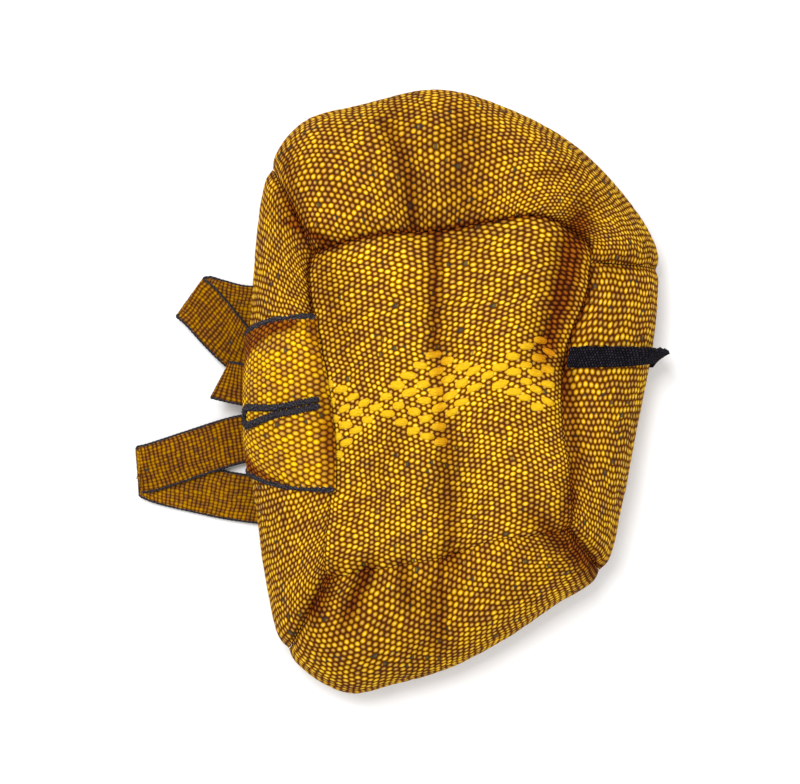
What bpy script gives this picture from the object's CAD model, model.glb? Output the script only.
import math
import random

import bmesh
import bpy
import numpy as np
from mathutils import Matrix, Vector


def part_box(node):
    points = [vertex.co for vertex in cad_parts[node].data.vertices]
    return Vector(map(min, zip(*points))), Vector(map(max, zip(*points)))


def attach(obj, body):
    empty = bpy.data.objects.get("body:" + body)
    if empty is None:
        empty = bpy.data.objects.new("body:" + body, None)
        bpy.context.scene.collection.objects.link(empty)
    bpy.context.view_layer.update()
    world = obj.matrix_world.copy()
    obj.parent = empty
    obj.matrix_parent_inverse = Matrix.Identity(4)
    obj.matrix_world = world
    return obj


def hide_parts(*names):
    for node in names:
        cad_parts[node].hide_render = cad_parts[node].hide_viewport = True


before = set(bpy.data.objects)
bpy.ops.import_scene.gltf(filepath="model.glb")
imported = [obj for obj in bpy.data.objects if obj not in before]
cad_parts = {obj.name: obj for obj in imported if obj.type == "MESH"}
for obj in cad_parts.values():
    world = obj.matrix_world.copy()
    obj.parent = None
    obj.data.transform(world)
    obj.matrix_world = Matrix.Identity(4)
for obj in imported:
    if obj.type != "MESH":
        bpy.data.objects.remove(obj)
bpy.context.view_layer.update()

# Camera, floor and light
# The bag lies on its back on a plain pale floor and is seen from straight above,
# about an arm's length and a half away, in soft light from all sides.
CAMERA_HEIGHT = 1.15
VIEW_WIDTH = 0.560       # width of the picture at the level of the bag's widest line
VIEW_LEVEL = 0.022
VIEW_LEFT = 0.0378       # how far the picture's middle lies to the left of the body's
VIEW_DOWN = 0.0007       # and below it
SENSOR = 36.0
FLOOR_HALF = 4.0
SKY_STRENGTH = 0.75

side_boxes = [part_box(node) for node in ("mouth_side", "foot", "left_side", "right_side")]
body_low = [min(low[i] for low, _ in side_boxes) for i in range(3)]
body_high = [max(high[i] for _, high in side_boxes) for i in range(3)]
BODY_X = (body_low[0] + body_high[0]) / 2
BODY_Y = (body_low[1] + body_high[1]) / 2
HALF_X = (body_high[0] - body_low[0]) / 2
HALF_Y = (body_high[1] - body_low[1]) / 2

camera_data = bpy.data.cameras.new("camera")
camera_data.sensor_width = SENSOR
camera_data.lens = SENSOR * (CAMERA_HEIGHT - VIEW_LEVEL) / VIEW_WIDTH
camera_data.clip_end = 20.0
camera = bpy.data.objects.new("camera", camera_data)
camera.location = (BODY_X - VIEW_LEFT, BODY_Y - VIEW_DOWN, CAMERA_HEIGHT)
bpy.context.scene.collection.objects.link(camera)
bpy.context.scene.camera = camera
bpy.context.scene.view_settings.view_transform = "Standard"


def linear(hex_colour):
    """An sRGB hex colour as linear RGBA."""
    channels = [int(hex_colour[i:i + 2], 16) / 255 for i in (1, 3, 5)]
    return [c / 12.92 if c <= 0.04045 else ((c + 0.055) / 1.055) ** 2.4 for c in channels] + [1.0]


def add(tree, kind, links=(), **settings):
    """Adds a node, with its properties and unlinked inputs from settings and its links from a list."""
    node = tree.nodes.new(kind)
    for key, value in settings.items():
        if hasattr(node, key):
            setattr(node, key, value)
        else:
            slot = node.inputs[int(key[1:])] if key[1:].isdigit() else node.inputs[key.replace("_", " ")]
            slot.default_value = value
    for target, source in links:
        tree.links.new(source, node.inputs[target])
    return node


def new_material(name):
    material = bpy.data.materials.new(name)
    material.use_nodes = True
    tree = material.node_tree
    return material, tree, tree.nodes["Principled BSDF"]


floor_mesh = bpy.data.meshes.new("floor")
bm = bmesh.new()
bmesh.ops.create_grid(bm, x_segments=1, y_segments=1, size=FLOOR_HALF)
bm.to_mesh(floor_mesh)
bm.free()
floor = bpy.data.objects.new("floor", floor_mesh)
bpy.context.scene.collection.objects.link(floor)

# Matt painted board: an even white with no gloss
floor_paint, tree, shader = new_material("matt_white_board")
shader.inputs["Base Color"].default_value = linear("#FAFAFA")
shader.inputs["Roughness"].default_value = 1.0
shader.inputs["Specular IOR Level"].default_value = 0.0
floor_mesh.materials.append(floor_paint)

world = bpy.data.worlds.new("studio")
world.use_nodes = True
world.node_tree.nodes["Background"].inputs["Color"].default_value = linear("#FFFFFF")
world.node_tree.nodes["Background"].inputs["Strength"].default_value = SKY_STRENGTH
bpy.context.scene.world = world

LIGHTS = [
    {"name": "key", "place": (-0.35, 0.45, 1.35), "size": 0.6, "power": 15.0},
    {"name": "fill", "place": (0.8, -0.4, 1.3), "size": 1.2, "power": 4.0},
]
for row in LIGHTS:
    light_data = bpy.data.lights.new(row["name"], "AREA")
    light_data.size = row["size"]
    light_data.energy = row["power"]
    light = bpy.data.objects.new(row["name"], light_data)
    light.location = row["place"]
    light.rotation_euler = Vector(row["place"]).to_track_quat("Z", "Y").to_euler()
    bpy.context.scene.collection.objects.link(light)

# Front panel
# The woven front of the bag: golden wool weft beaten over a dark warp, so that the cloth shows
# a chequer of small yellow nubs. It is sewn all round to the gusset and sags in long soft folds.
MM = 0.001
CLOTH = 2.2 * MM
SEAM_DIP = 5.0 * MM      # how far the cloth turns down into a seam
SEAM_TURN = 4.2 * MM     # and over what width
NUB_LENGTH = 3.95 * MM   # spacing of the nubs along the weft
PICK = 1.90 * MM         # spacing of the picks
NUB_RELIEF = 0.65 * MM
FOLD_DEPTH = 8 * MM
FOLD_WIDTH = 16 * MM
CREASE_FADE = 2.2        # how many widths a crease takes to die away beyond its ends
COLUMN_STEPS = 3         # mesh steps to a column of nubs
PICK_STEPS = 2           # and to a pick
SEAM_RUST = 1.3          # how dark the wool looks along the front seam, in folds,
FOLD_RUST = 0.25
END_RUST = 0.45          # at the corners between two strips and under the body
UNDER_RUST = 0.25
SEAM_RUST_WIDTH = 2.2 * MM
END_RUST_WIDTH = 2.5 * MM
PANEL_OVERSHOOT = 1.023  # the seam's curve runs a little past its stations
RIM_ROLL = 16 * MM
RIM_SHARE = 0.25
SEAM_Z = 74 * MM
RIM_Z = 24 * MM
PANEL_CROWN = 4 * MM

panel_low, panel_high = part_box("front_panel")
PANEL_X = (panel_low[0] + panel_high[0]) / 2
PANEL_Y = (panel_low[1] + panel_high[1]) / 2
PANEL_HALF_X = (panel_high[0] - panel_low[0]) / 2 / PANEL_OVERSHOOT
PANEL_HALF_Y = (panel_high[1] - panel_low[1]) / 2
SIDE_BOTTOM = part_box("right_side")[0][2]

# Stations round the bag, six to a side, from the corner of mouth and right side: the rim in
# shares of half the body, the front seam in shares of half the panel, and the puff at the seam.
STATIONS = np.array([
    (-0.90, 0.74, -1.00, 0.79, 0.10), (-0.74, 0.89, -0.76, 0.86, 0.16), (-0.45, 0.95, -0.44, 0.91, 0.10),
    (-0.08, 1.00, -0.06, 0.93, 0.08), (0.25, 0.94, 0.31, 0.98, 0.04), (0.63, 0.79, 0.69, 1.00, 0.10),
    (0.98, 0.48, 1.00, 0.85, 0.02), (0.99, 0.31, 1.00, 0.60, 0.04), (0.97, 0.16, 0.86, 0.30, 0.06),
    (0.93, 0.01, 0.81, 0.03, 0.06), (0.88, -0.16, 0.82, -0.22, 0.06), (0.82, -0.37, 0.88, -0.50, 0.04),
    (0.72, -0.60, 0.85, -0.74, 0.00), (0.49, -0.71, 0.60, -0.78, 0.04), (0.23, -0.83, 0.29, -0.81, 0.06),
    (-0.03, -0.92, -0.01, -0.90, 0.06), (-0.28, -0.97, -0.31, -0.94, 0.08),
    (-0.53, -1.00, -0.60, -0.98, 0.08), (-0.82, -0.86, -0.89, -1.00, 0.06),
    (-0.92, -0.62, -0.90, -0.78, 0.04), (-0.96, -0.42, -0.86, -0.53, 0.02),
    (-1.00, -0.21, -0.86, -0.25, 0.02), (-1.00, -0.01, -0.91, 0.06, 0.02),
    (-0.99, 0.26, -0.99, 0.40, 0.04),
])
RIGHT, FOOT, LEFT, MOUTH, CLOSE = 0, 6, 12, 18, 24

# Folds: from, to, depth and width, as shares of half the body and of the fold sizes above
FOLDS = [
    (-0.10, 0.46, -0.06, 0.10, 0.70, 0.80), (-0.03, -0.14, 0.00, -0.50, 0.60, 0.80),
    (0.56, 0.50, 0.43, 0.16, 1.00, 1.10), (0.52, 0.05, 0.55, -0.34, 0.55, 0.90),
    (-0.70, 0.42, -0.58, 0.22, 0.60, 1.20), (-0.26, 0.88, -0.20, 0.56, 1.00, 0.90),
    (0.06, 0.80, 0.04, 0.56, 0.55, 1.10), (0.66, 0.38, 0.95, 0.44, 0.60, 0.50),
    (-0.61, -0.66, -0.70, -0.76, 0.70, 0.70), (-0.43, -0.60, -0.52, -0.74, 0.80, 0.70),
    (-0.24, -0.60, -0.20, -0.70, 0.60, 0.60), (-0.04, -0.58, -0.12, -0.84, 0.90, 0.90),
    (0.54, -0.48, 0.70, -0.60, 0.70, 0.80), (-0.86, 0.60, -0.66, 0.46, 0.90, 0.70),
    (0.02, 0.30, 0.30, 0.30, -0.25, 2.00),
]

# Creases too sharp for the folds above: from, to, in shares of half the body, depth and width in
# millimetres, and how dark and rusty the wool looks in them
CREASES = [
    (-0.093, 0.494, -0.103, 0.154, 3.2, 4.0, 0.75),
    (-0.084, 0.154, -0.075, -0.148, 1.2, 4.0, 0.4),
    (-0.046, -0.148, -0.028, -0.523, 2.2, 6.0, 0.5),
    (0.571, 0.513, 0.496, 0.297, 4.5, 9.0, 0.95),
    (0.496, 0.297, 0.435, 0.154, 3.5, 8.0, 0.8),
    (0.51, 0.068, 0.566, -0.211, 3.0, 4.5, 0.6),
    (0.566, -0.211, 0.533, -0.339, 3.0, 4.5, 0.6),
    (0.533, -0.339, 0.514, -0.434, 3.0, 6.0, 0.7),
    (-0.327, 0.857, -0.224, 0.71, 3.2, 4.5, 0.5),
    (-0.224, 0.71, -0.201, 0.532, 3.2, 3.5, 0.6),
    (0.028, 0.838, 0.047, 0.545, 2.2, 14.0, 0.3),
    (-0.799, 0.726, -0.766, 0.577, 3.0, 7.0, 0.6),
    (-0.78, 0.539, -0.589, 0.469, 2.2, 3.0, 0.9),
    (0.416, 0.695, 0.571, 0.72, 1.8, 2.2, 0.65),
    (-0.589, -0.593, -0.659, -0.695, 3.4, 6.0, 0.7),
    (-0.416, -0.574, -0.495, -0.701, 3.4, 5.0, 0.75),
    (-0.252, -0.561, -0.229, -0.65, 2.6, 4.0, 0.55),
    (-0.07, -0.548, -0.065, -0.79, 1.8, 2.4, 0.55),
    (-0.112, -0.656, -0.093, -0.784, 1.6, 6.0, 0.3),
    (0.43, -0.44, 0.599, -0.548, 3.2, 8.0, 0.8),
    (0.543, -0.548, 0.645, -0.593, 2.4, 3.5, 0.5),
    (0.486, -0.428, 0.561, -0.497, 2.4, 4.0, 0.5),
    (-0.645, 0.418, -0.542, 0.202, 1.6, 10.0, 0.28),
    (-0.299, -0.148, -0.486, -0.402, 1.0, 9.0, 0.2),
]


def centripetal(at, low, t):
    """A centripetal spline through rows, each given by its number, from row low on by t."""
    p0, p1, p2, p3 = at(low - 1), at(low), at(low + 1), at(low + 2)
    d0, d1, d2 = (np.sqrt(np.linalg.norm(q - p, axis=1))[:, None] + 1e-9
                  for p, q in ((p0, p1), (p1, p2), (p2, p3)))
    t1 = ((p1 - p0) / d0 - (p2 - p0) / (d0 + d1) + (p2 - p1) / d1) * d1
    t2 = ((p2 - p1) / d1 - (p3 - p1) / (d1 + d2) + (p3 - p2) / d2) * d1
    return p1 + t * t1 + t * t * (3 * (p2 - p1) - 2 * t1 - t2) + t ** 3 * (2 * (p1 - p2) + t1 + t2)


def past_ends(rows, number, inside):
    """The rows by number, with one more past each end, in line with the last two."""
    inside = np.where((number < 0)[:, None], 2 * rows[0] - rows[1], inside)
    return np.where((number > len(rows) - 1)[:, None], 2 * rows[-1] - rows[-2], inside)


def spline(points, place, closed):
    """A centripetal spline through points, at places counted in points."""
    count = len(points)
    low = np.floor(place).astype(int)
    if closed:
        return centripetal(lambda k: points[k % count], low, (place - low)[:, None])
    low = np.clip(low, 0, count - 2)
    return centripetal(lambda k: past_ends(points, k, points[np.clip(k, 0, count - 1)]), low,
                       (place - low)[:, None])


rim_points = np.column_stack([
    BODY_X + STATIONS[:, 0] * HALF_X, BODY_Y + STATIONS[:, 1] * HALF_Y, np.full(len(STATIONS), RIM_Z)])
seam_points = np.column_stack([
    PANEL_X + STATIONS[:, 2] * PANEL_HALF_X, PANEL_Y + STATIONS[:, 3] * PANEL_HALF_Y,
    np.full(len(STATIONS), SEAM_Z)])


def rim_at(station):
    return spline(rim_points, np.asarray(station, float), True)


def seam_at(station):
    return spline(seam_points, np.asarray(station, float), True)


def smooth(value, low, high):
    t = np.clip((value - low) / (high - low), 0, 1)
    return t * t * (3 - 2 * t)


def off_line(from_x, from_y, to_x, to_y, x, y):
    """How far places in plan lie aside of a line and beyond its ends."""
    ax, ay = BODY_X + from_x * HALF_X, BODY_Y + from_y * HALF_Y
    bx, by = BODY_X + to_x * HALF_X, BODY_Y + to_y * HALF_Y
    length = math.hypot(bx - ax, by - ay)
    along = ((x - ax) * (bx - ax) + (y - ay) * (by - ay)) / length
    aside = ((x - ax) * (by - ay) - (y - ay) * (bx - ax)) / length
    return aside, np.maximum(np.maximum(-along, along - length), 0)


def fold_drop(x, y):
    """Depth of the folds at places in plan."""
    drop = np.zeros_like(x)
    for *ends, depth, width in FOLDS:
        aside, beyond = off_line(*ends, x, y)
        drop += depth * FOLD_DEPTH * np.exp(-(aside ** 2 + beyond ** 2) / (width * FOLD_WIDTH) ** 2)
    return drop


def crease_at(x, y):
    """Depth of the sharp creases at places in plan, and how rusty the wool looks there.
    A crease dies away slowly beyond its two ends."""
    drop, rust = np.zeros_like(x), np.zeros_like(x)
    for *ends, depth, width, dark in CREASES:
        aside, beyond = off_line(*ends, x, y)
        away = (aside / (width * MM)) ** 2 + (beyond / (CREASE_FADE * width * MM)) ** 2
        drop = np.maximum(drop, depth * MM * np.exp(-away))
        rust = np.maximum(rust, dark * np.exp(-0.8 * away))
    return drop, rust


def undulation(x, y, size, seed):
    """Slow hand-woven unevenness: a few crossed waves."""
    draw = random.Random(seed)
    total = np.zeros_like(x)
    for _ in range(7):
        bearing, length = draw.uniform(0, math.pi), draw.uniform(0.6, 1.8) * size
        shift = draw.uniform(0, 6.28)
        total += np.sin((x * math.cos(bearing) + y * math.sin(bearing)) * 2 * math.pi / length + shift)
    return total / 7


def even_station(start, end, share, axis, curve):
    """Stations between two corners that are evenly spaced along one axis of a curve."""
    places = np.linspace(start, end, 200)
    along = curve(places)[:, axis]
    wanted = along[0] + (along[-1] - along[0]) * share
    if along[-1] < along[0]:
        return np.interp(-wanted, -along, places)
    return np.interp(wanted, along, places)


def panel_plan(a, b):
    lower = seam_at(MOUTH + (LEFT - MOUTH) * a)
    upper = seam_at(FOOT * a)
    left = seam_at(even_station(MOUTH, CLOSE, b, 1, seam_at))
    right = seam_at(even_station(LEFT, FOOT, b, 1, seam_at))
    a, b = a[:, None], b[:, None]
    low = seam_points[MOUTH] * (1 - a) + seam_points[LEFT] * a
    high = seam_points[RIGHT] * (1 - a) + seam_points[FOOT] * a
    return lower * (1 - b) + upper * b + left * (1 - a) + right * a - low * (1 - b) - high * b


def seam_dip(distance, pull):
    """How far cloth has turned down at a distance from a seam that pulls it more or less."""
    return pull * SEAM_DIP * np.exp(-(np.maximum(distance, 0) / SEAM_TURN) ** 1.5)


def seam_pull(x, y):
    """The front seam is drawn in deep towards the right side and lies flat towards the left."""
    across = (y + 0.25 * np.abs(x - PANEL_X) - PANEL_Y) / PANEL_HALF_Y
    return 0.35 + 0.65 * smooth(across, -0.3, 0.8)


def panel_edge(a, b):
    return np.minimum(np.minimum(a, 1 - a) * 2 * PANEL_HALF_X, np.minimum(b, 1 - b) * 2 * PANEL_HALF_Y)


def panel_surface(a, b):
    point = panel_plan(a, b)
    edge = panel_edge(a, b)
    crown = PANEL_CROWN * 16 * a * (1 - a) * b * (1 - b)
    fine = 1.3 * MM * undulation(point[:, 0], point[:, 1], 0.05, 3) * smooth(edge, 0, 0.02)
    drop = fold_drop(point[:, 0], point[:, 1]) + crease_at(point[:, 0], point[:, 1])[0]
    point[:, 2] = SEAM_Z + crown + fine - drop - seam_dip(edge, seam_pull(point[:, 0], point[:, 1]))
    return point


def rust_at(point, near_seam):
    """How dark and rusty the wool looks in creases, in folds and along the front seam."""
    x, y = point[:, 0], point[:, 1]
    seam = SEAM_RUST * seam_pull(x, y) ** 1.5 * np.exp(-(near_seam / SEAM_RUST_WIDTH) ** 2)
    return crease_at(x, y)[1] + FOLD_RUST * fold_drop(x, y) / FOLD_DEPTH + seam


def panel_rust(a, b):
    return rust_at(panel_plan(a, b), panel_edge(a, b))


def nub_height(u, v, lattice):
    """Height, from 0 to about 1, of plain weave at a place counted in nub columns and picks."""
    if lattice == "grid":
        p, q = u, v
        du, dv = u - np.round(u), v - np.round(v)
        wide, tall = 0.60, 0.60
    else:
        p, q = (u + v) / 2, (u - v) / 2
        dp, dq = p - np.round(p), q - np.round(q)
        du, dv = dp + dq, dp - dq
        wide, tall = 0.66, 1.0
    chance = np.modf(np.abs(np.sin(np.round(p) * 12.9898 + np.round(q) * 78.233) * 437.585))[0]
    crown = np.sqrt(np.clip(1 - (du / wide) ** 2, 0, 1) * np.clip(1 - (dv / tall) ** 2, 0, 1))
    return crown * (0.62 + 0.55 * chance)


def cloth_piece(name, surface, columns, picks, u_steps, v_steps, relief, lattice="chequer", rust=None,
                turned=False):
    """A sheet of woven cloth on a surface of two shares, with its weave as relief and as a UV map.
    Columns count the weave along the first share and picks along the second, or the other way
    round on turned cloth. Rust is how dark the wool looks in creases."""
    mesh = bpy.data.meshes.new(name)
    bm = bmesh.new()
    bmesh.ops.create_grid(bm, x_segments=u_steps, y_segments=v_steps, size=0.5)
    bm.to_mesh(mesh)
    bm.free()
    count = len(mesh.vertices)
    share = np.empty(count * 3, np.float32)
    mesh.vertices.foreach_get("co", share)
    share = share.reshape(-1, 3).astype(float) + 0.5
    a, b = share[:, 0], share[:, 1]
    step = 2e-3
    point = surface(a, b)
    way_a = surface(np.minimum(a + step, 1), b) - surface(np.maximum(a - step, 0), b)
    way_b = surface(a, np.minimum(b + step, 1)) - surface(a, np.maximum(b - step, 0))
    normal = np.cross(way_a, way_b)
    normal /= np.linalg.norm(normal, axis=1)[:, None] + 1e-12
    area = flat_area(mesh, point)
    u, v = (b * picks, a * columns) if turned else (a * columns, b * picks)
    sway, drag = undulation(u, v, 9.0, len(name)), undulation(u, v, 13.0, len(name) + 1)
    jog = undulation(u, v, 3.5, len(name) + 2)
    u, v = u + 0.45 * sway + 0.08 * jog, v + 0.6 * drag + 0.14 * jog
    point = point + normal * (relief * (nub_height(u, v, lattice) - 0.6))[:, None]
    if rust is not None:
        layer = mesh.attributes.new("rust", "FLOAT", "POINT")
        layer.data.foreach_set("value", np.clip(rust(a, b), 0, 1).astype(np.float32))
    mesh.vertices.foreach_set("co", point.astype(np.float32).ravel())
    corner = np.empty(len(mesh.loops), np.int32)
    mesh.loops.foreach_get("vertex_index", corner)
    layer = mesh.uv_layers.new(name="weave")
    layer.data.foreach_set("uv", np.column_stack([u, v])[corner].astype(np.float32).ravel())
    mesh.polygons.foreach_set("use_smooth", np.ones(len(mesh.polygons), bool))
    mesh.update()
    piece = bpy.data.objects.new(name, mesh)
    bpy.context.scene.collection.objects.link(piece)
    piece["flat_area"] = area
    return piece


def flat_area(mesh, point):
    corner = np.empty(len(mesh.loops), np.int32)
    mesh.loops.foreach_get("vertex_index", corner)
    quad = point[corner.reshape(-1, 4)]
    cross = np.cross(quad[:, 2] - quad[:, 0], quad[:, 3] - quad[:, 1])
    return float(np.linalg.norm(cross, axis=1).sum() / 2)


def thicken(piece, thickness):
    wall = piece.modifiers.new("wall", "SOLIDIFY")
    wall.thickness = thickness
    wall.offset = -1


def declare(piece, node):
    """Rides, replaces its node, and is a sheet of the given flat size."""
    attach(piece, "root")
    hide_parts(node)
    del piece["flat_area"]


def woven_wool(name, colours, nub=(0.49, 0.86), lattice="chequer", speck=0.035, streak=0.55):
    """Hand-spun wool in plain weave: each nub of weft is bright on its crown and dark where it dives
    under the warp, its yellow drifts from yarn to yarn, and a few flecks of dark wool show."""
    material, tree, shader = new_material(name)
    uv = add(tree, "ShaderNodeUVMap", uv_map="weave")
    wander = add(tree, "ShaderNodeTexNoise", [("Vector", uv.outputs["UV"])], Scale=0.21, Detail=2.0)
    shift = add(tree, "ShaderNodeVectorMath", [(0, wander.outputs["Color"])], operation="MULTIPLY_ADD",
                i1=(0.55, 0.9, 0.0), i2=(-0.27, -0.45, 0.0))
    place = add(tree, "ShaderNodeVectorMath", [(0, uv.outputs["UV"]), (1, shift.outputs[0])], operation="ADD")
    parts = add(tree, "ShaderNodeSeparateXYZ", [(0, uv.outputs["UV"])])
    u, v = parts.outputs[0], parts.outputs[1]

    def maths(operation, *inputs):
        links = [(i, x) for i, x in enumerate(inputs) if not isinstance(x, (int, float))]
        values = {f"i{i}": float(x) for i, x in enumerate(inputs) if isinstance(x, (int, float))}
        return add(tree, "ShaderNodeMath", links, operation=operation, **values).outputs[0]

    if lattice == "grid":
        p, q = u, v
    else:
        p = maths("MULTIPLY", maths("ADD", u, v), 0.5)
        q = maths("MULTIPLY", maths("SUBTRACT", u, v), 0.5)
    row_p, row_q = maths("ROUND", p), maths("ROUND", q)
    dp, dq = maths("SUBTRACT", p, row_p), maths("SUBTRACT", q, row_q)
    if lattice == "grid":
        du, dv = dp, dq
    else:
        du, dv = maths("ADD", dp, dq), maths("SUBTRACT", dp, dq)
    cell = add(tree, "ShaderNodeCombineXYZ", [(0, row_p), (1, row_q)])
    chance = add(tree, "ShaderNodeTexWhiteNoise", [("Vector", cell.outputs[0])], noise_dimensions="2D")
    swell = maths("MULTIPLY_ADD", chance.outputs["Value"], 0.22, 0.89)
    away = maths("SQRT", maths("ADD", maths("POWER", maths("DIVIDE", du, nub[0]), 2.0),
                               maths("POWER", maths("DIVIDE", dv, nub[1]), 2.0)))
    crown = maths("SUBTRACT", swell, away)
    fibre = add(tree, "ShaderNodeTexNoise", [("Vector", uv.outputs["UV"])],
                Scale=3.1, Detail=3.0, Roughness=0.7)
    level = maths("ADD", crown, maths("MULTIPLY_ADD", fibre.outputs["Fac"], 0.30, -0.15))
    ramp = add(tree, "ShaderNodeValToRGB", [("Fac", level)])
    stops = ramp.color_ramp.elements
    while len(stops) < len(colours):
        stops.new(0.5)
    for stop, (position, colour) in zip(stops, colours):
        stop.position = position
        stop.color = linear(colour)
    # Drift of the dye along and between yarns
    if lattice == "grid":
        yarn = row_q
    else:
        yarn = maths("SUBTRACT", row_p, row_q)
    along = add(tree, "ShaderNodeCombineXYZ",
                [(0, maths("MULTIPLY", u, 0.11)), (1, maths("MULTIPLY", yarn, 0.83))])
    dye = add(tree, "ShaderNodeTexNoise", [("Vector", along.outputs[0])],
              Scale=1.0, Detail=3.0, Roughness=0.65)
    slow = add(tree, "ShaderNodeTexNoise", [("Vector", place.outputs[0])], Scale=0.05, Detail=3.0)
    drift = maths("ADD", maths("MULTIPLY_ADD", dye.outputs["Fac"], streak, 1.0 - streak / 2),
                  maths("MULTIPLY_ADD", slow.outputs["Fac"], 0.5, -0.25))
    drift = maths("ADD", drift, maths("MULTIPLY_ADD", chance.outputs["Value"], 0.42, -0.19))
    turn = maths("MULTIPLY_ADD", chance.outputs["Value"], 0.014, 0.495)
    purity = maths("MULTIPLY_ADD", chance.outputs["Value"], 0.10, 0.96)
    tinted = add(tree, "ShaderNodeHueSaturation", [
        ("Color", ramp.outputs["Color"]), ("Value", drift), ("Hue", turn), ("Saturation", purity)])
    # Flecks of undyed dark wool, a nub or two long
    fleck_at = add(tree, "ShaderNodeCombineXYZ",
                   [(0, maths("MULTIPLY", u, 0.42)), (1, maths("MULTIPLY", yarn, 2.3))])
    fleck = add(tree, "ShaderNodeTexNoise", [("Vector", fleck_at.outputs[0])], Scale=1.0, Detail=1.0)
    flecked = add(tree, "ShaderNodeMapRange", [("Value", fleck.outputs["Fac"])])
    flecked.inputs["From Min"].default_value = 0.72 - speck
    flecked.inputs["From Max"].default_value = 0.75 - speck
    flecked.inputs["To Max"].default_value = 0.85
    mix = add(tree, "ShaderNodeMix", [(0, flecked.outputs[0]), (6, tinted.outputs["Color"])],
              data_type="RGBA", i7=linear("#2F312A"))
    # Wool in creases, where only its darker flanks show
    rust = add(tree, "ShaderNodeAttribute", attribute_name="rust")
    ragged = maths("MULTIPLY", rust.outputs["Fac"], maths("MULTIPLY_ADD", fibre.outputs["Fac"], 0.8, 0.6))
    shaded = add(tree, "ShaderNodeMix", [(0, ragged), (6, mix.outputs[2])],
                 data_type="RGBA", blend_type="MULTIPLY", i7=linear("#A0705C"))
    tree.links.new(shaded.outputs[2], shader.inputs["Base Color"])
    bump = add(tree, "ShaderNodeBump", [("Height", level)], Strength=0.45, Distance=0.8 * MM)
    tree.links.new(bump.outputs["Normal"], shader.inputs["Normal"])
    shader.inputs["Roughness"].default_value = 0.88
    shader.inputs["Specular IOR Level"].default_value = 0.06
    return material


PANEL_COLOURS = [(0.0, "#5A2D02"), (0.08, "#734203"), (0.26, "#AC770E"), (0.50, "#D6A41C"), (0.85, "#EAC66C")]
panel_wool = woven_wool("plain_weave_wool_golden", PANEL_COLOURS)

panel_columns = round(2 * PANEL_HALF_X / NUB_LENGTH)
panel_picks = round(2 * PANEL_HALF_Y / PICK)
front_panel = cloth_piece(
    "woven_front", panel_surface, panel_columns, panel_picks, panel_columns * COLUMN_STEPS,
    panel_picks * PICK_STEPS, NUB_RELIEF, rust=panel_rust)
front_panel.data.materials.append(panel_wool)
thicken(front_panel, CLOTH)
declare(front_panel, "front_panel")

# Gusset sides
# Strips of the same cloth between front and back, with the weft along the strip. They bulge over
# the floor, turn under to the back seam and are drawn into folds where they meet the front.
SIDE_PICK = 1.9 * MM
STEEP_SHARE = 0.55       # how steeply the cloth leaves the rim, in shares of the rise
SHALLOW_SHARE = 0.42     # and how flat it comes to the front seam
CORNER_GAP = 0.010       # between two strips, in stations
MIDDLE_SHARE = 0.55      # where the spacing of a strip's columns is even
STRIP_PLACES = 200


def puff_at(station):
    place = np.asarray(station, float) % len(STATIONS)
    return np.interp(place, np.arange(len(STATIONS) + 1), np.append(STATIONS[:, 4], STATIONS[0, 4]))


def outward_at(station):
    way = rim_at(station + 0.02) - rim_at(station - 0.02)
    out = np.column_stack([-way[:, 1], way[:, 0], np.zeros(len(way))])
    return out / np.linalg.norm(out, axis=1)[:, None]


def side_surface(share, station):
    """Outer cloth of the sides: share 0 is the back seam, RIM_SHARE the rim and 1 the front seam."""
    rim = rim_at(station)
    turn = np.clip(share / RIM_SHARE, 0, 1) * math.pi / 2
    under = rim + outward_at(station) * (RIM_ROLL * (np.sin(turn) - 1))[:, None]
    under[:, 2] = SIDE_BOTTOM + (RIM_Z - SIDE_BOTTOM) * (1 - np.cos(turn))
    seam = seam_at(station)
    rise = SEAM_Z - RIM_Z
    steep = rim.copy()
    steep[:, 2] += STEEP_SHARE * rise
    level_rim = rim.copy()
    level_rim[:, 2] = SEAM_Z
    shallow = seam * (1 - SHALLOW_SHARE) + level_rim * SHALLOW_SHARE
    shallow[:, 2] += puff_at(station) * rise
    t = np.clip((share - RIM_SHARE) / (1 - RIM_SHARE), 0, 1)[:, None]
    over = rim * (1 - t) ** 3 + steep * 3 * t * (1 - t) ** 2 + shallow * 3 * t * t * (1 - t) + seam * t ** 3
    over[:, 2] -= fold_drop(over[:, 0], over[:, 1]) * smooth(share, 0.3, 0.6)
    return np.where((share < RIM_SHARE)[:, None], under, over)


def line_run(line):
    """Length along a line of places, up to each of them."""
    return np.append(0, np.cumsum(np.linalg.norm(np.diff(line, axis=0), axis=1)))


def side_length(station):
    return float(line_run(side_surface(np.linspace(0, 1, 60), np.full(60, float(station))))[-1])


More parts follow.
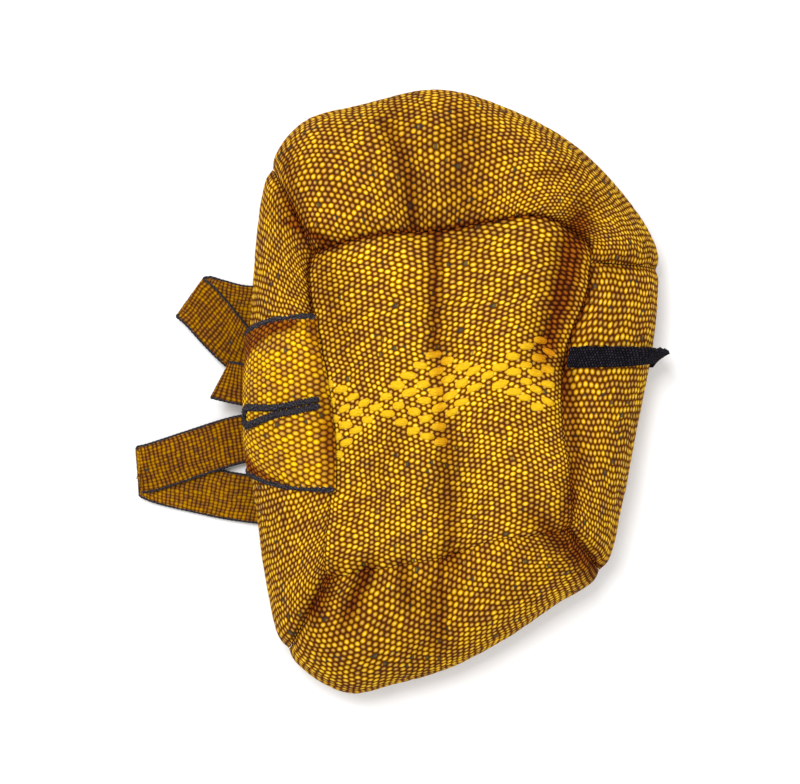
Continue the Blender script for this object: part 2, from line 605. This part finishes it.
def side_strip(name, node, start, end, seed, top=None):
    """One strip of the gusset, from corner to corner. Its first share runs along the strip,
    from the end to the start, so that its outer face points out."""
    length = float(line_run(rim_at(np.linspace(start, end, 80)))[-1])
    width = side_length((start + end) / 2)

    def borders(a, b):
        share = along(a, b)[1]
        return (1 - share) * width, np.minimum(a, 1 - a) * length * (0.55 + 0.45 * (1 - b))

    places = np.linspace(start + CORNER_GAP, end - CORNER_GAP, STRIP_PLACES)
    run = line_run(side_surface(np.full(STRIP_PLACES, MIDDLE_SHARE), places))

    def along(a, b):
        station = np.interp((1 - a) * run[-1], run, places)
        return station, b if top is None else b * top(station)

    def rust(a, b):
        station, share = along(a, b)
        point = side_surface(share, station)
        near_front, near_end = borders(a, b)
        ends = END_RUST * np.exp(-(near_end / END_RUST_WIDTH) ** 2)
        return rust_at(point, near_front) + ends + UNDER_RUST * (1 - smooth(share, 0.05, 0.40))

    def surface(a, b):
        station, share = along(a, b)
        point = side_surface(share, station)
        near_front, near_end = borders(a, b)
        slope = smooth(share, 0.25, 0.5)
        point[:, 2] -= crease_at(point[:, 0], point[:, 1])[0] * slope
        soft = 2.2 * MM * undulation(point[:, 0] + 0.3 * point[:, 2], point[:, 1], 0.055, seed)
        soft *= smooth(near_front, 0, 0.02) * smooth(near_end, 0, 0.02)
        point[:, 2] += soft * slope
        point[:, 2] -= seam_dip(near_front, seam_pull(point[:, 0], point[:, 1]))
        corner_dip = seam_dip(near_end, 0.5)
        point -= outward_at(station) * corner_dip[:, None]
        point[:, 2] -= corner_dip * slope
        return point

    columns = 2 * round(0.85 * length / NUB_LENGTH / 2)
    picks = 2 * round(width / SIDE_PICK / 2)
    piece = cloth_piece(name, surface, columns, picks, columns * COLUMN_STEPS, picks * PICK_STEPS,
                        NUB_RELIEF, rust=rust)
    piece.data.materials.append(side_wool)
    thicken(piece, CLOTH)
    longest = max(side_length(start + 0.1), width, side_length(end - 0.1))
    declare(piece, node)


SIDE_COLOURS = [(0.0, "#562A02"), (0.08, "#6D3D03"), (0.26, "#A36D0D"), (0.50, "#CB981A"), (0.85, "#E0B962")]
side_wool = woven_wool("plain_weave_wool_gusset", SIDE_COLOURS, speck=0.05)
FOOT_SEAM = 6.45         # a station a little past the corner of the front panel
side_strip("right_gusset", "right_side", RIGHT, FOOT_SEAM, 11)
side_strip("foot_gusset", "foot", FOOT_SEAM, LEFT, 12)
side_strip("left_gusset", "left_side", LEFT, MOUTH, 13)

# Mouth side
# The strip at the bag's top. Its front border is free under the flap and hangs down there,
# which leaves the mouth open.
MOUTH_WIDTH = 96 * MM
MOUTH_DROP = 20 * MM
FLAP_Y = BODY_Y - 8 * MM


def mouth_top(station):
    away = np.abs(seam_at(station)[:, 1] - FLAP_Y) / (MOUTH_WIDTH / 2)
    dip = np.where(away < 1, 0.5 + 0.5 * np.cos(np.minimum(away, 1) * math.pi), 0)
    return 1 - dip * MOUTH_DROP / ((1 - RIM_SHARE) * (SEAM_Z - RIM_Z) * math.sqrt(2))


side_strip("mouth_gusset", "mouth_side", MOUTH, CLOSE, 14, top=mouth_top)

# Back panel
# The flat back that the bag lies on, cut from the same cloth and lapped under the sides.
BACK_LAP = 6 * MM
back_low, back_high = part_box("back_panel")


def back_surface(a, b):
    """A patch inside the rim: a runs from the mouth to the foot and b from left to right."""
    station_low = MOUTH + (LEFT - MOUTH) * a
    station_high = FOOT * a
    left = MOUTH + (CLOSE - MOUTH) * b
    right = LEFT + (FOOT - LEFT) * b
    inset = BACK_LAP - RIM_ROLL

    def outline(station):
        return rim_at(station) + outward_at(station) * inset

    aa, bb = a[:, None], b[:, None]
    corners = [outline(np.array([float(s)])) for s in (MOUTH, LEFT, RIGHT, FOOT)]
    low = corners[0] * (1 - aa) + corners[1] * aa
    high = corners[2] * (1 - aa) + corners[3] * aa
    point = (outline(station_low) * (1 - bb) + outline(station_high) * bb
             + outline(left) * (1 - aa) + outline(right) * aa - low * (1 - bb) - high * bb)
    point[:, 2] = back_low[2] + 0.2 * MM
    return point


BACK_STEPS_ALONG = 60    # its weave is bump alone, as it lies out of sight
BACK_STEPS_ACROSS = 90
back_size = (back_high[0] - back_low[0], back_high[1] - back_low[1])
back_columns = round(back_size[0] / NUB_LENGTH)
back_picks = round(back_size[1] / PICK)
back = cloth_piece("woven_back", lambda a, b: back_surface(1 - a, b), back_columns, back_picks,
                   BACK_STEPS_ALONG, BACK_STEPS_ACROSS, 0)
back.data.materials.append(side_wool)
thicken(back, 1.8 * MM)
declare(back, "back_panel")

# Flap
# A wide woven band of thicker yarn with black selvages, sewn to the top of the back. It is drawn
# over the mouth, domes up over the hanging loop's root and ends in a hem on the front panel.
FLAP_WIDTH = 118 * MM
FLAP_ROOT_WIDTH = 96 * MM
FLAP_REACH = 3 * MM
FLAP_DOME = 9 * MM
FLAP_CLOTH = 2.2 * MM
FLAP_LIFT = 2.9 * MM
FLAP_ROOT_SHARE = 0.16   # of the mouth side's height; the flap widens from here
FLAP_WIDE_SHARE = 0.85   # to here
FLAP_SLACK = 2.5 * MM
FLAP_NUB = 4.5 * MM
FLAP_PICK = 1.95 * MM
FLAP_ROWS = [(0.16, 0.0), (0.25, 0.0), (0.40, 0.40), (0.55, 0.85), (0.70, 1.0), (0.85, 1.0)]
FLAP_HEM_ROWS = [(0.0, 0.35), (0.5, 0.15), (1.0, 0.0)]

MOUTH_PLACES = 300
mouth_places = np.linspace(MOUTH, CLOSE, MOUTH_PLACES)


def mouth_station(share, y):
    """Stations where the mouth side, at one share, has the places y."""
    return np.interp(y, side_surface(np.full(MOUTH_PLACES, share), mouth_places)[:, 1], mouth_places)


def side_normal(share, station):
    step = 4e-3
    way_share = side_surface(share + step, station) - side_surface(share - step, station)
    way_station = side_surface(share, station + step) - side_surface(share, station - step)
    normal = np.cross(way_share, way_station)
    return normal / np.linalg.norm(normal, axis=1)[:, None]


def flap_surface(a, b):
    """Outer face of the flap: a runs across it, b from its root to its hem."""
    across = 1 - (2 * a - 1) ** 2
    rows = []
    for share, dome in FLAP_ROWS:
        widening = smooth(share, FLAP_ROOT_SHARE, FLAP_WIDE_SHARE)
        width = FLAP_ROOT_WIDTH + (FLAP_WIDTH - FLAP_ROOT_WIDTH) * widening
        station = mouth_station(share, FLAP_Y + (0.5 - a) * width)
        shares = np.full(len(a), share)
        lift = FLAP_LIFT + dome * FLAP_DOME * across
        rows.append(side_surface(shares, station) + side_normal(shares, station) * lift[:, None])
    seam = seam_at(mouth_station(1.0, FLAP_Y + (0.5 - a) * FLAP_WIDTH))
    for reach, dome in FLAP_HEM_ROWS:
        x = seam[:, 0] + reach * FLAP_REACH
        z = SEAM_Z + 0.4 * PANEL_CROWN - fold_drop(x, seam[:, 1]) + FLAP_LIFT + dome * FLAP_DOME * across
        rows.append(np.column_stack([x, seam[:, 1], z]))
    rows = np.array(rows)
    place = np.clip(b, 0, 1) * (len(rows) - 1)
    low = np.clip(np.floor(place).astype(int), 0, len(rows) - 2)
    index = np.arange(len(a))

    def at(k):
        return past_ends(rows, k, rows[np.clip(k, 0, len(rows) - 1), index])

    return centripetal(at, low, (place - low)[:, None])


FLAP_COLOURS = [(0.0, "#6A3A03"), (0.10, "#84500A"), (0.26, "#B47C0E"), (0.50, "#D7A218"), (0.85, "#E6BE4E")]
flap_wool = woven_wool("thick_wool_band", FLAP_COLOURS, nub=(0.56, 0.92), speck=0.03)
flap_shares = np.linspace(0, 1, 200)
flap_run = line_run(flap_surface(np.full(200, 0.5), flap_shares))
FLAP_LENGTH = float(flap_run[-1])


def flap_slack(a, b):
    """Where the flap falls away behind the dome: wide towards its right side, narrow on its left."""
    edge = np.where(a < 0.5, 0.62, 0.86)
    around = ((a - 0.5) * 2) ** 2 + (np.minimum(b - 0.88, 0) / 0.86) ** 2
    return smooth(around, edge, edge + 0.16) * (1 - smooth(b, 0.78, 0.92))


def flap_even(a, b):
    """The flap's outer face with b in even steps of length."""
    point = flap_surface(a, np.interp(b * FLAP_LENGTH, flap_run, flap_shares))
    point[:, 2] -= FLAP_SLACK * flap_slack(a, b)
    return point


def flap_rust(a, b):
    hem = np.exp(-(((1 - b) * FLAP_LENGTH - 3 * MM) / (9 * MM)) ** 4)
    return 0.85 * hem * (0.7 + 0.3 * np.cos(a * 9)) + 0.95 * flap_slack(a, b)


flap_columns = round(FLAP_WIDTH / FLAP_PICK)
flap_picks = round(FLAP_LENGTH / FLAP_NUB)
flap = cloth_piece("woven_flap", flap_even, flap_columns, flap_picks, flap_columns * 4, flap_picks * 4,
                   0.9 * MM, rust=flap_rust, turned=True)
flap.data.materials.append(flap_wool)
thicken(flap, FLAP_CLOTH)
declare(flap, "flap")

# Buttonhole binding
# A row of close black stitches around the slit in the flap: its legs lie apart round the open
# end and side by side towards the hem.
CORD_SIDES = 12
CORD_STEP = 0.22         # in shares of the twist's pitch


def normal_of(surface, a, b):
    step = 4e-3
    way_a = surface(a + step, b) - surface(a - step, b)
    way_b = surface(a, np.minimum(b + step, 1)) - surface(a, np.maximum(b - step, 0))
    normal = np.cross(way_a, way_b)
    return normal / np.linalg.norm(normal, axis=1)[:, None]


def cord_piece(name, path, normals, radius, flatness, plies, pitch, swell=0.16):
    """A plied yarn swept along a path, flattened along the normals; the plies are its relief."""
    path, normals = np.asarray(path, float), np.asarray(normals, float)
    run = line_run(path)
    steps = max(8, int(run[-1] / (CORD_STEP * pitch)))
    place = np.linspace(0, run[-1], steps + 1)
    line = np.column_stack([np.interp(place, run, path[:, i]) for i in range(3)])
    upright = np.column_stack([np.interp(place, run, normals[:, i]) for i in range(3)])
    way = np.gradient(line, axis=0)
    way /= np.linalg.norm(way, axis=1)[:, None] + 1e-12
    side = np.cross(way, upright)
    side /= np.linalg.norm(side, axis=1)[:, None] + 1e-12
    upright = np.cross(side, way)
    mesh = bpy.data.meshes.new(name)
    bm = bmesh.new()
    bmesh.ops.create_grid(bm, x_segments=steps, y_segments=CORD_SIDES, size=0.5)
    weave = bm.loops.layers.uv.new("weave")
    bm.verts.ensure_lookup_table()
    for face in bm.faces:
        for loop in face.loops:
            loop[weave].uv = ((loop.vert.co.x + 0.5) * run[-1] / pitch, loop.vert.co.y + 0.5)
    for vert in bm.verts:
        i = round((vert.co.x + 0.5) * steps)
        turn = (vert.co.y + 0.5) * 2 * math.pi
        ripple = 1 + swell * math.cos(plies * turn - 2 * math.pi * place[i] / pitch)
        taper = min(1, 0.45 + min(place[i], run[-1] - place[i]) / (1.5 * radius))
        spread = radius * ripple * taper
        vert.co = line[i] + spread * (side[i] * math.cos(turn) - upright[i] * flatness * math.sin(turn))
    bmesh.ops.remove_doubles(bm, verts=bm.verts, dist=1e-6)
    bmesh.ops.holes_fill(bm, edges=[e for e in bm.edges if e.is_boundary])
    bmesh.ops.recalc_face_normals(bm, faces=bm.faces)
    bm.to_mesh(mesh)
    bm.free()
    mesh.polygons.foreach_set("use_smooth", np.ones(len(mesh.polygons), bool))
    mesh.materials.append(black_wool)
    piece = bpy.data.objects.new(name, mesh)
    bpy.context.scene.collection.objects.link(piece)
    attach(piece, "root")
    return piece


def spun_wool(name, stretch, scale, ragged, colours, relief, rough, gloss):
    """Loose yarn whose fibres run along the first UV axis, paler where they stand up."""
    material, tree, shader = new_material(name)
    uv = add(tree, "ShaderNodeUVMap", uv_map="weave")
    spread = add(tree, "ShaderNodeVectorMath", [(0, uv.outputs["UV"])], operation="MULTIPLY", i1=stretch)
    fibre = add(tree, "ShaderNodeTexNoise", [("Vector", spread.outputs[0])],
                Scale=scale, Detail=4.0, Roughness=ragged)
    ramp = add(tree, "ShaderNodeValToRGB", [("Fac", fibre.outputs["Fac"])])
    for stop, (position, colour) in zip(ramp.color_ramp.elements, colours):
        stop.position = position
        stop.color = linear(colour)
    tree.links.new(ramp.outputs["Color"], shader.inputs["Base Color"])
    bump = add(tree, "ShaderNodeBump", [("Height", fibre.outputs["Fac"])], Strength=relief, Distance=0.5 * MM)
    tree.links.new(bump.outputs["Normal"], shader.inputs["Normal"])
    shader.inputs["Roughness"].default_value = rough
    shader.inputs["Specular IOR Level"].default_value = gloss
    return material, tree, shader, ramp


# Dark undyed wool, nearly black, with paler blue-grey fibres
black_wool = spun_wool("black_wool_yarn", (1.3, 5.0, 1.0), 2.2, 0.8,
                       [(0.48, "#120E11"), (0.76, "#6C6875")], 0.6, 0.85, 0.15)[0]

SLIT_SHIFT = 0.5 * MM
SLIT_LEAN = -12 * MM     # how far the closed end lies to the left of the end at the hem
SLIT_FROM_HEM = 9 * MM
SLIT_LENGTH = 67 * MM
LOOP_HALF = 6.9 * MM     # half the spacing of the legs round the open end
LEG_HALF = 2.3 * MM      # and where they lie side by side
LEGS_PART_FROM = 0.483   # shares of the length between which they part
LEGS_PART_TO = 0.903


def on_flap(from_hem, from_middle, above):
    a = 0.5 - np.asarray(from_middle) / FLAP_WIDTH
    b = 1 - np.asarray(from_hem) / FLAP_LENGTH
    normal = normal_of(flap_even, a, b)
    return flap_even(a, b) + normal * above, normal


leg = np.linspace(0, SLIT_LENGTH - LOOP_HALF, 60)
parted = np.clip((leg / SLIT_LENGTH - LEGS_PART_FROM) / (LEGS_PART_TO - LEGS_PART_FROM), 0, 1)
half = LEG_HALF + (LOOP_HALF - LEG_HALF) * parted
bend = np.linspace(0, math.pi, 30)[1:-1]
from_hem = SLIT_FROM_HEM + np.concatenate(
    [leg, SLIT_LENGTH - LOOP_HALF + LOOP_HALF * np.sin(bend), leg[::-1]])
from_middle = np.concatenate([half, LOOP_HALF * np.cos(bend), -half[::-1]]) + SLIT_SHIFT
from_middle += SLIT_LEAN * (from_hem - SLIT_FROM_HEM) / SLIT_LENGTH
path, normals = on_flap(from_hem, from_middle, 1.0 * MM)
binding = cord_piece("buttonhole_stitches", path, normals, 2.15 * MM, 0.8, 1, 2.3 * MM, 0.24)
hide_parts("buttonhole_binding")

# Flap selvages
# Black warp along both edges of the flap, from the root at the back to the hem.
SELVAGE_INSET = 0.012    # share of the flap's width
for name, a in (("flap_selvage_right", SELVAGE_INSET), ("flap_selvage_left", 1 - SELVAGE_INSET)):
    b = np.linspace(0.06, 0.995, 80)
    sides = np.full(80, a)
    normals = normal_of(flap_even, sides, b)
    cord_piece(name, flap_even(sides, b) - normals * 0.6 * MM, normals, 2.1 * MM, 0.75, 2, 4.2 * MM)

# Brocade band
# Diamonds of thick bright weft on the front panel: a half diamond at the mouth, a whole one on the
# middle and a half one at the foot. Each pair in the chart is a column of long raised nubs: how
# many there are, and how far they are shifted, in nubs.
BROCADE = [
    (5, 0), (4, 0), (3, 0), (2, 0), (1, 0), (2, 0), (3, 0), (4, 0), (5, 0), (6, 0),
    (4, 0.5), (3, 0.5), (2, 0.5), (1, 0.5), (2, 0.5), (3, 0.5), (4, 0.5), (5, 0.5), (4, 0.5),
]
BROCADE_FROM = 0.038     # shares of the panel's height and width
BROCADE_TO = 0.915
BROCADE_MIDDLE = 0.483
BROCADE_SPACING = 0.0535
BROCADE_DRIFT = 0.005
COLUMN_DRIFT = 0.006
FLOAT_LENGTH = 11.0 * MM
FLOAT_WIDTH = 6.4 * MM
FLOAT_RISE = 2.0 * MM

draw = random.Random(8)
mesh = bpy.data.meshes.new("brocade_floats")
bm = bmesh.new()
weave = bm.loops.layers.uv.new("weave")
shade = bm.verts.layers.float.new("rust")
for k, (count, shift) in enumerate(BROCADE):
    centre_a = BROCADE_FROM + (BROCADE_TO - BROCADE_FROM) * k / (len(BROCADE) - 1)
    for n in range(count):
        centre_b = BROCADE_MIDDLE + (n - (count - 1) / 2 + shift) * BROCADE_SPACING
        centre_b += draw.uniform(-BROCADE_DRIFT, BROCADE_DRIFT)
        middle_a = centre_a + draw.uniform(-COLUMN_DRIFT, COLUMN_DRIFT)
        long, wide = draw.uniform(0.86, 1.10), draw.uniform(0.82, 1.10)
        lean = draw.uniform(-0.25, 0.30)
        grid = bmesh.ops.create_grid(bm, x_segments=16, y_segments=12, size=1.0)["verts"]
        x = np.array([v.co.x for v in grid])
        y = np.array([v.co.y for v in grid])
        squeeze = np.sqrt(np.clip(1 - np.abs(x) ** 2.6, 0, 1)) * 0.92 + 0.08
        a = middle_a + x * long * FLOAT_LENGTH / 2 / (2 * PANEL_HALF_X)
        b = centre_b + (y * squeeze * wide + lean * x) * FLOAT_WIDTH / 2 / (2 * PANEL_HALF_Y)
        normal = normal_of(panel_surface, a, b)
        plump = np.clip(1 - np.abs(y) ** 2.2, 0, 1) ** 0.7 * np.clip(1 - np.abs(x) ** 2.6, 0, 1) ** 0.6
        strands = 0.12 * np.cos((y * 3.2 + x * 1.1) * math.pi)
        rise = FLOAT_RISE * (plump * (1 + strands) - 0.25)
        place = panel_surface(a, b) + normal * rise[:, None]
        rust = np.clip(1.1 * panel_rust(a, b), 0, 0.8)
        number = (k * 7 + n) * 3.0
        at = dict(zip(grid, zip(place, x, y, rust)))
        for face in {f for v in grid for f in v.link_faces}:
            face.smooth = True
            for loop in face.loops:
                _, s, t, _ = at[loop.vert]
                loop[weave].uv = (number + s, number * 0.37 + t)
        for vert, (spot, _, _, dark) in at.items():
            vert.co = spot
            vert[shade] = dark
bm.to_mesh(mesh)
bm.free()

# Thick soft weft in the brightest yellow, its strands lying side by side
bright_wool, tree, shader, ramp = spun_wool(
    "bright_wool_brocade", (1.6, 6.5, 1.0), 1.0, 0.75, [(0.28, "#B47A06"), (0.60, "#F0C61C")], 0.5, 0.8, 0.08)
rust = add(tree, "ShaderNodeAttribute", attribute_name="rust")
shaded = add(tree, "ShaderNodeMix", [(0, rust.outputs["Fac"]), (6, ramp.outputs["Color"])],
             data_type="RGBA", blend_type="MULTIPLY", i7=linear("#D29A62"))
tree.links.new(shaded.outputs[2], shader.inputs["Base Color"])
mesh.materials.append(bright_wool)
brocade = bpy.data.objects.new("brocade_floats", mesh)
bpy.context.scene.collection.objects.link(brocade)
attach(brocade, "root")

# Shoulder straps
# Ribbed brown-gold bands with black selvages. Each runs from the lower corner of the back under
# the bag, turns over beyond the mouth and comes back to the root of the flap.
STRAP = 2.6 * MM
STRAP_WIDTH = 32 * MM
STRAP_RISE = 6.6 * MM
RIB = 3.1 * MM
RIB_RELIEF = 0.5 * MM
WALL_SHARE = 0.85        # of a band's thickness; the ribs take the rest
SELVAGES = (("near_selvage", 0.0), ("far_selvage", 1.0))

# Routes: x and y in shares of half the body, level in shares of the rise, bearing of travel
RIGHT_ROUTE = [
    (0.62, 0.42, 0.00, 186), (-1.00, 0.275, 0.00, 172), (-1.17, 0.297, 0.00, 166),
    (-1.27, 0.318, 0.16, 150), (-1.31, 0.318, 0.60, 144), (-1.26, 0.290, 1.00, 138),
    (-1.17, 0.222, 1.00, 140), (-1.07, 0.150, 1.00, 158), (-1.00, 0.110, 1.00, 178),
]
LEFT_ROUTE = [
    (0.62, -0.42, 0.00, 174), (-1.00, -0.365, 0.00, 170), (-1.28, -0.330, 0.00, 168),
    (-1.50, -0.292, 0.10, 174), (-1.57, -0.270, 0.55, 184), (-1.50, -0.258, 1.00, 194),
    (-1.30, -0.214, 1.00, 197), (-1.10, -0.170, 1.00, 190), (-1.00, -0.152, 1.00, 182),
]

STRAP_COLOURS = [(0.0, "#422002"), (0.12, "#552E04"), (0.30, "#704207"), (0.54, "#8A580C"), (0.88, "#A27423")]
strap_wool = woven_wool("ribbed_wool_band", STRAP_COLOURS, nub=(0.66, 0.50), lattice="grid", speck=0.02,
                        streak=0.4)


def top_seat(y, z, clear):
    """A place on the cloth of the top, below the rim, at heights z."""
    station = np.interp([y], rim_at(mouth_places)[:, 1], mouth_places)
    turn = math.acos(min(1, max(-1, 1 - (z - SIDE_BOTTOM) / (RIM_Z - SIDE_BOTTOM))))
    spot = side_surface(np.array([RIM_SHARE * turn / (math.pi / 2)]), station) + outward_at(station) * clear
    return spot[0]


def route_surface(rows, turns, width):
    """A flat band through rows of places, at given bearings; its first share runs across."""
    rows, turns = np.array(rows, float), np.radians(np.array(turns, float))
    fine = np.linspace(0, len(rows) - 1, 600)
    line = spline(rows, fine, False)
    low = np.clip(np.floor(fine).astype(int), 0, len(rows) - 2)
    line[:, 2] = rows[low, 2] + (rows[low + 1, 2] - rows[low, 2]) * smooth(fine - low, 0, 1)
    run = line_run(line)
    bearing = np.interp(fine, np.arange(len(rows)), turns)

    def surface(a, b):
        place = np.clip(b, 0, 1) * run[-1]
        point = np.column_stack([np.interp(place, run, line[:, i]) for i in range(3)])
        turn = np.interp(place, run, bearing)
        point[:, 0] += np.sin(turn) * (a - 0.5) * width
        point[:, 1] -= np.cos(turn) * (a - 0.5) * width
        return point

    return surface, float(run[-1])


def webbing(name, node, surface, width, length, thickness):
    """A ribbed band along a route, with its two selvages; its face is on the route."""
    wall = WALL_SHARE * thickness
    columns = round(width / (0.75 * RIB))
    picks = round(length / RIB)
    piece = cloth_piece(name, surface, columns, picks, columns * 3, picks * 4, RIB_RELIEF, lattice="grid")
    piece.data.materials.append(strap_wool)
    thicken(piece, wall)
    piece.modifiers["wall"].offset = 1
    declare(piece, node)
    for label, a in SELVAGES:
        b = np.linspace(0.004, 0.996, 160)
        sides = np.full(160, a)
        normals = normal_of(surface, sides, b)
        cord_piece(f"{name}_{label}", surface(sides, b) + normals * 0.5 * wall, normals,
                   1.2 * MM, 1.0, 2, 3.0 * MM, 0.10)


for name, node, route in (("right_shoulder_strap", "right_strap", RIGHT_ROUTE),
                          ("left_shoulder_strap", "left_strap", LEFT_ROUTE)):
    rows = [[BODY_X + x * HALF_X, BODY_Y + y * HALF_Y, STRAP + level * STRAP_RISE]
            for x, y, level, _ in route]
    rows[-1][0] = top_seat(rows[-1][1], rows[-1][2] + STRAP, 1.0 * MM)[0]
    surface, length = route_surface(rows, [row[3] for row in route], STRAP_WIDTH)
    webbing(name, node, surface, STRAP_WIDTH, length, STRAP)

# Hanging loop
# A short piece of the same band, folded in two and sewn under the root of the flap.
LOOP = 2.4 * MM
LOOP_WIDTH = 27 * MM
LOOP_REACH = 18 * MM
LOOP_RISE = 6 * MM
LOOP_Y = 0.02            # share of half the body
LOOP_HEIGHT = 20 * MM
LOOP_CLEAR = 3.9 * MM
LOOP_BEARING = math.radians(168)
LOOP_ROWS = [
    (0.00, 0.00, 180), (0.70, 0.00, 160), (0.94, 0.10, 154), (1.00, 0.50, 152),
    (0.94, 0.90, 154), (0.70, 1.00, 160), (0.00, 1.00, 180),
]
root = top_seat(BODY_Y + LOOP_Y * HALF_Y, LOOP_HEIGHT, LOOP_CLEAR)
rows = [[root[0] + out * LOOP_REACH * math.cos(LOOP_BEARING),
         root[1] + out * LOOP_REACH * math.sin(LOOP_BEARING),
         LOOP_HEIGHT + level * LOOP_RISE] for out, level, _ in LOOP_ROWS]
surface, length = route_surface(rows, [row[2] for row in LOOP_ROWS], LOOP_WIDTH)
webbing("hanging_loop_band", "hanging_loop", surface, LOOP_WIDTH, length, LOOP)

# Black band
# A flat black braid, laid double, from the front seam down over the foot; it turns on edge
# near the rim and its loose end flares.
BAND_WIDTH = 14 * MM
BAND = 2.4 * MM
BAND_LIFT = 0.5 * MM
BAND_TWIST = 52          # degrees
BAND_STATION = 8.32
BAND_COLUMNS, BAND_PICKS = 8, 110
BAND_ROWS = [
    (0.985, 0.00), (0.85, 0.05), (0.70, 0.20), (0.52, 0.70), (0.38, 1.00), (0.28, 0.45), (0.16, 0.10),
]


def band_surface(a, b):
    place = np.clip(b, 0, 1) * (len(BAND_ROWS) - 1)
    steps = np.arange(len(BAND_ROWS))
    share = np.interp(place, steps, [row[0] for row in BAND_ROWS])
    turn = np.radians(BAND_TWIST * np.interp(place, steps, [row[1] for row in BAND_ROWS]))
    station = np.full(len(a), BAND_STATION)
    spacing = np.linalg.norm(side_surface(share, station + 0.5) - side_surface(share, station - 0.5), axis=1)
    station = station + (a - 0.5) * BAND_WIDTH * np.cos(turn) / spacing
    lift = BAND_LIFT + BAND + (1 - a) * BAND_WIDTH * np.sin(turn)
    return side_surface(share, station) + side_normal(share, station) * lift[:, None]


# The same dark wool, braided: small slanting stitches with paler fibres on their crowns
BRAID_COLOURS = [(0.0, "#060507"), (0.2, "#0C0A0E"), (0.45, "#131116"), (0.7, "#201D25"), (0.95, "#3C3842")]
braid_wool = woven_wool("black_wool_braid", BRAID_COLOURS, nub=(0.7, 0.9), speck=-0.2, streak=0.5)
band = cloth_piece("black_braid", band_surface, BAND_COLUMNS, BAND_PICKS,
                   BAND_COLUMNS * 4, BAND_PICKS * 2, 0.45 * MM)
band.data.materials.append(braid_wool)
thicken(band, BAND)
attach(band, "root")
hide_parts("black_band")
del band["flat_area"]
